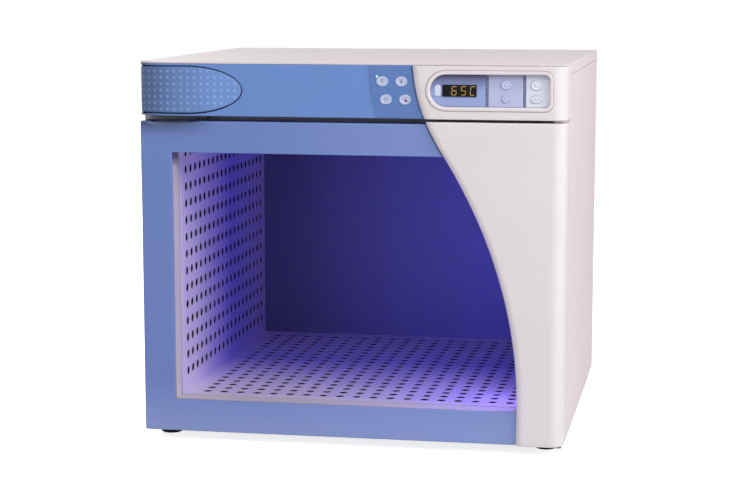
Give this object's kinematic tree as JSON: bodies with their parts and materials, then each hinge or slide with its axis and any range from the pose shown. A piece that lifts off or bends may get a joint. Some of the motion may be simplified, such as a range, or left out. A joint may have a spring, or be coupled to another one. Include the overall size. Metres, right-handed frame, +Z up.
{
  "type": "blanket warming cabinet",
  "caption": "Countertop warming cabinet: hollow heated chamber behind a swept hinged glass door, with a control strip and push-pad door release.",
  "frame": {"origin": "on the floor, under the middle of the overall box", "axes": "+X to the right seen from the front, +Y towards the back, +Z up; the door faces -Y"},
  "size_m": [0.762, 0.73, 0.682],
  "materials": {
    "enamel_white": "smooth satin powder coat",
    "moulding_white": "satin moulded plastic",
    "strip_blue": "satin moulded plastic",
    "pad_blue": "dimpled satin plastic",
    "door_blue": "satin moulded plastic",
    "overlay_blue": "printed membrane",
    "key_white": "smooth keycaps",
    "display_blue": "smooth plate",
    "adjust_lavender": "smooth plate",
    "function_pale": "smooth plate and buttons",
    "reveal_grey": "matt inner moulding",
    "liner_steel": "plain sheet",
    "galvanised": "galvanised sheet",
    "dark_steel": "dark coated steel",
    "bright_steel": "bright steel",
    "black_rubber": "moulded rubber",
    "black_plastic": "smooth black plastic",
    "grey_rubber": "soft seal",
    "insulation": "mineral wool slab",
    "board": "circuit board",
    "pane": "clear toughened pane",
    "lamp_diffuser": "violet diffuser",
    "led_green": "clear lens"
  },
  "bodies": {
    "cabinet": {"top_cover": "enamel_white", "left_side_panel": "enamel_white", "right_side_panel": "enamel_white", "back_panel": "enamel_white", "front_frame": "enamel_white", "upper_hinge": "enamel_white", "end_cover": "moulding_white", "bezel_ring": "moulding_white", "sensor_lens": "moulding_white", "control_strip": "strip_blue", "keypad_overlay": "overlay_blue", "display_plate": "display_blue", "adjust_plate": "adjust_lavender", "function_plate": "function_pale", "liner_left": "liner_steel", "liner_right": "liner_steel", "liner_back": "liner_steel", "chamber_floor": "liner_steel", "chamber_ceiling": "liner_steel", "base_pan": "galvanised", "air_duct": "galvanised", "power_supply": "galvanised", "lower_hinge": "dark_steel", "blower_motor": "dark_steel", "heater_left": "dark_steel", "heater_right": "dark_steel", "lamp_housing": "dark_steel", "pad_pin": "bright_steel", "temperature_probe": "bright_steel", "foot_front_left": "black_rubber", "foot_front_right": "black_rubber", "foot_rear_left": "black_rubber", "foot_rear_right": "black_rubber", "power_inlet": "black_plastic", "controller_tray": "black_plastic", "display_window": "black_plastic", "overheat_thermostat": "black_plastic", "base_insulation": "insulation", "rear_insulation": "insulation", "control_board": "board", "lamp_lens": "lamp_diffuser", "status_led": "led_green"},
    "door": {"door_frame": "door_blue", "door_wing": "moulding_white", "door_inner_frame": "reveal_grey", "door_glass": "pane", "door_gasket": "grey_rubber", "strike_plate": "bright_steel"},
    "release": {"release_pad": "pad_blue", "release_arm": "black_plastic", "latch_magnet": "dark_steel"},
    "blower": {"blower_wheel": "bright_steel"},
    "key_1_body": {"key_1": "key_white"},
    "key_2_body": {"key_2": "key_white"},
    "key_3_body": {"key_3": "key_white"},
    "key_4_body": {"key_4": "key_white"},
    "adjust_button_1_body": {"adjust_button_1": "function_pale"},
    "adjust_button_2_body": {"adjust_button_2": "function_pale"},
    "function_button_1_body": {"function_button_1": "function_pale"},
    "function_button_2_body": {"function_button_2": "function_pale"}
  },
  "joints": [
    {"name": "door_hinge", "type": "hinge", "parent": "cabinet", "child": "door", "pos_m": [0.369, -0.3385, 0.3], "axis": [0, 0, 1], "range_deg": [0, 110]},
    {"name": "release_press", "type": "hinge", "parent": "cabinet", "child": "release", "pos_m": [-0.21, -0.3455, 0.63], "axis": [0, 0, -1], "range_deg": [0, 4], "stiffness_Nm_per_rad": 12},
    {"name": "blower_spin", "type": "hinge", "parent": "cabinet", "child": "blower", "pos_m": [0, 0.14, 0.58], "axis": [0, 0, 1], "continuous": true},
    {"name": "key_1_press", "type": "slide", "parent": "cabinet", "child": "key_1_body", "axis": [0, 1, 0], "range_m": [0, 0.0012], "stiffness_N_per_m": 900},
    {"name": "key_2_press", "type": "slide", "parent": "cabinet", "child": "key_2_body", "axis": [0, 1, 0], "range_m": [0, 0.0012], "stiffness_N_per_m": 900},
    {"name": "key_3_press", "type": "slide", "parent": "cabinet", "child": "key_3_body", "axis": [0, 1, 0], "range_m": [0, 0.0012], "stiffness_N_per_m": 900},
    {"name": "key_4_press", "type": "slide", "parent": "cabinet", "child": "key_4_body", "axis": [0, 1, 0], "range_m": [0, 0.0012], "stiffness_N_per_m": 900},
    {"name": "adjust_button_1_press", "type": "slide", "parent": "cabinet", "child": "adjust_button_1_body", "axis": [0, 1, 0], "range_m": [0, 0.001], "stiffness_N_per_m": 900},
    {"name": "adjust_button_2_press", "type": "slide", "parent": "cabinet", "child": "adjust_button_2_body", "axis": [0, 1, 0], "range_m": [0, 0.001], "stiffness_N_per_m": 900},
    {"name": "function_button_1_press", "type": "slide", "parent": "cabinet", "child": "function_button_1_body", "axis": [0, 1, 0], "range_m": [0, 0.001], "stiffness_N_per_m": 900},
    {"name": "function_button_2_press", "type": "slide", "parent": "cabinet", "child": "function_button_2_body", "axis": [0, 1, 0], "range_m": [0, 0.001], "stiffness_N_per_m": 900}
  ]
}
